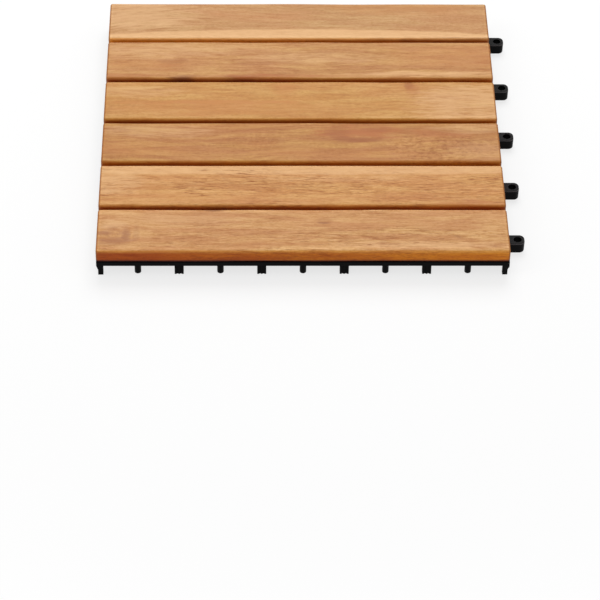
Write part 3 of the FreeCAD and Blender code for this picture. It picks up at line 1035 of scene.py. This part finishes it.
def makeGrid(look):
    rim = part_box("slat_1")[1].xy
    far = Vector((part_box("slat_1")[0].x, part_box("slat_6")[0].y))
    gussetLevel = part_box("base_grid")[1].z - look["gussetDown"]
    grid = bmesh.new()
    grid.from_mesh(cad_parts["base_grid"].data)
    bmesh.ops.remove_doubles(grid, verts=grid.verts, dist=look["weld"])
    bmesh.ops.dissolve_limit(
        grid, angle_limit=look["flatAngle"], verts=grid.verts, edges=grid.edges
    )

    centre = (rim + far) / 2
    holes = []
    for k in range(look["loops"]):
        step = (k - (look["loops"] - 1) / 2) * look["pitch"]
        holes.append(Vector((rim.x + look["loopOut"], centre.y + step)))
        holes.append(Vector((centre.x + step, rim.y + look["loopOut"])))

    def sharpEdges():
        return [e for e in grid.edges if e.calc_face_angle(0) > look["sharpAngle"]]

    def middle(edge):
        return (edge.verts[0].co + edge.verts[1].co) / 2

    def onLoop(edge):
        # a level edge of a loop's outline, but not of its hole
        at = middle(edge)
        out = max(at.x - rim.x, at.y - rim.y)
        nearest = min((at.xy - hole).length for hole in holes)
        level = abs(edge.verts[0].co.z - edge.verts[1].co.z) < look["level"]
        onHole = nearest < look["holeRadius"] + look["holeMargin"]
        return level and out > look["outside"] and not onHole

    def onGusset(edge):
        at = middle(edge)
        toX = min(abs(at.x - rim.x), abs(at.x - far.x))
        toY = min(abs(at.y - rim.y), abs(at.y - far.y))
        off = abs(at.z - gussetLevel)
        return max(toX, toY) < look["cornerReach"] and off < look["gussetMargin"]

    outline = [edge for edge in sharpEdges() if onLoop(edge)]
    roundEdges(grid, outline, look["loopRound"], look["loopSegments"])
    rest = [edge for edge in sharpEdges() if not onGusset(edge)]
    roundEdges(grid, rest, look["edgeRound"], look["edgeSegments"])
    markSharp(grid, look["sharpAngle"])
    piece = addPiece("mouldedGrid", grid, makePlastic(look))
    evenNormals(piece, True)
    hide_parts("base_grid")
    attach(piece, "root")


makeGrid(gridLook)
print("moulded grid finished")

# Flat-headed wood screws with a cross recess, driven up through the bosses.
screwLook = {
    "colour": tone(192, 186, 168),
    "tarnish": tone(142, 130, 104),
    "haze": (0.6, 3.0, 0.6),  # noise: cycles a millimetre, detail, roughness
    "hazeStep": (0.35, 0.7, 0.0, 0.6),
    "roughness": 0.34,
    "hazeRough": 0.2,
    "seed": 18,
    "columns": 3,
    "sides": 48,
    "sharpAngle": math.radians(40),
    "headRadius": 3.6 * mm,
    "headHeight": 1.8 * mm,
    # shares of the head's radius and height, from its underside up to the shank
    "headRings": [
        (0.62, 0.0), (0.86, 0.03), (0.96, 0.12), (1.0, 0.32), (1.0, 0.86), (0.96, 1.0)
    ],
    "crossArm": 1.9 * mm,
    "crossAngle": math.radians(15),  # half an arm's width, seen from the middle
    "crossDepth": 1.15 * mm,
    "crossMargin": 0.001,  # radians, so that rounding leaves no arm's corner out
    # shares of the recess's size and depth, from its floor out
    "crossRings": [(0.5, 1.0), (0.94, 0.1), (1.04, 0.0)],
    "coreRadius": 1.3 * mm,
    "threadRadius": 1.72 * mm,
    "threadPitch": 2.0 * mm,
    "threadShare": 0.5,  # of the pitch, taken up by the ridge
    "turnSteps": 6,  # rings to a turn of the thread
    "point": 3.0 * mm,
    "tipRadius": 0.12 * mm,
}


def makeSteel(look):
    paint = Paint(bpy.data.materials.new("screwSteel"))
    haze = paint.noise(paint.millimetres(), *look["haze"])
    hazy = paint.step(haze, *look["hazeStep"])
    return paint.surface(
        Base_Color=paint.blend(hazy, look["colour"], look["tarnish"]),
        Metallic=1.0,
        Roughness=look["roughness"] + haze * look["hazeRough"],
    )


def crossRadius(angle, look):
    # the recess's outline, from its middle
    away = abs((angle + math.pi / 4) % (math.pi / 2) - math.pi / 4)
    if away < look["crossAngle"] + look["crossMargin"]:
        return look["crossArm"] / math.cos(away)
    return look["crossArm"] * math.tan(look["crossAngle"]) / math.sin(away)


def shankRadius(angle, up, shank, look):
    # the thread's ridge stands half way between one turn and the next
    fade = min(1.0, (shank - up) / look["point"])
    phase = (up / look["threadPitch"] - angle / math.tau) % 1.0
    ridge = max(0.0, 1 - abs(phase - 0.5) * 2 / look["threadShare"])
    height = look["threadRadius"] - look["coreRadius"]
    return max(look["tipRadius"], fade * (look["coreRadius"] + ridge * height))


def screwRings(look, length, angles):
    # a screw's rings from the floor of its recess up, each a height and its radii
    rings = []
    for share, depth in look["crossRings"]:
        radii = [share * crossRadius(angle, look) for angle in angles]
        rings.append((look["crossDepth"] * depth, radii))
    for share, height in look["headRings"]:
        radii = [share * look["headRadius"] for _ in angles]
        rings.append((look["headHeight"] * height, radii))
    shank = length - look["headHeight"]
    steps = round(shank / look["threadPitch"] * look["turnSteps"])
    for k in range(steps + 1):
        up = shank * k / steps
        radii = [shankRadius(angle, up, shank, look) for angle in angles]
        rings.append((look["headHeight"] + up, radii))
    return rings


def makeScrews(look):
    low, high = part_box("deck_screws")
    angles = [math.tau * k / look["sides"] for k in range(look["sides"])]
    rings = screwRings(look, high.z - low.z, angles)
    between = (high.x - low.x - 2 * look["headRadius"]) / (look["columns"] - 1)
    columns = [low.x + look["headRadius"] + k * between for k in range(look["columns"])]
    slatBoxes = [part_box(f"slat_{k}") for k in range(1, len(slatLooks) + 1)]
    rows = [(front.y + back.y) / 2 for front, back in slatBoxes]
    dice = random.Random(look["seed"])
    screws = bmesh.new()
    for x in columns:
        for y in rows:
            turn = dice.uniform(0, math.tau)
            placed = []
            for height, radii in rings:
                ring = []
                for angle, r in zip(angles, radii):
                    dx = r * math.cos(angle + turn)
                    dy = r * math.sin(angle + turn)
                    ring.append((x + dx, y + dy, low.z + height))
                placed.append(ring)
            skin(screws, placed)
    bmesh.ops.recalc_face_normals(screws, faces=screws.faces)
    markSharp(screws, look["sharpAngle"])
    piece = addPiece("woodScrews", screws, makeSteel(look))
    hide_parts("deck_screws")
    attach(piece, "root")


makeScrews(screwLook)
print("screws finished")
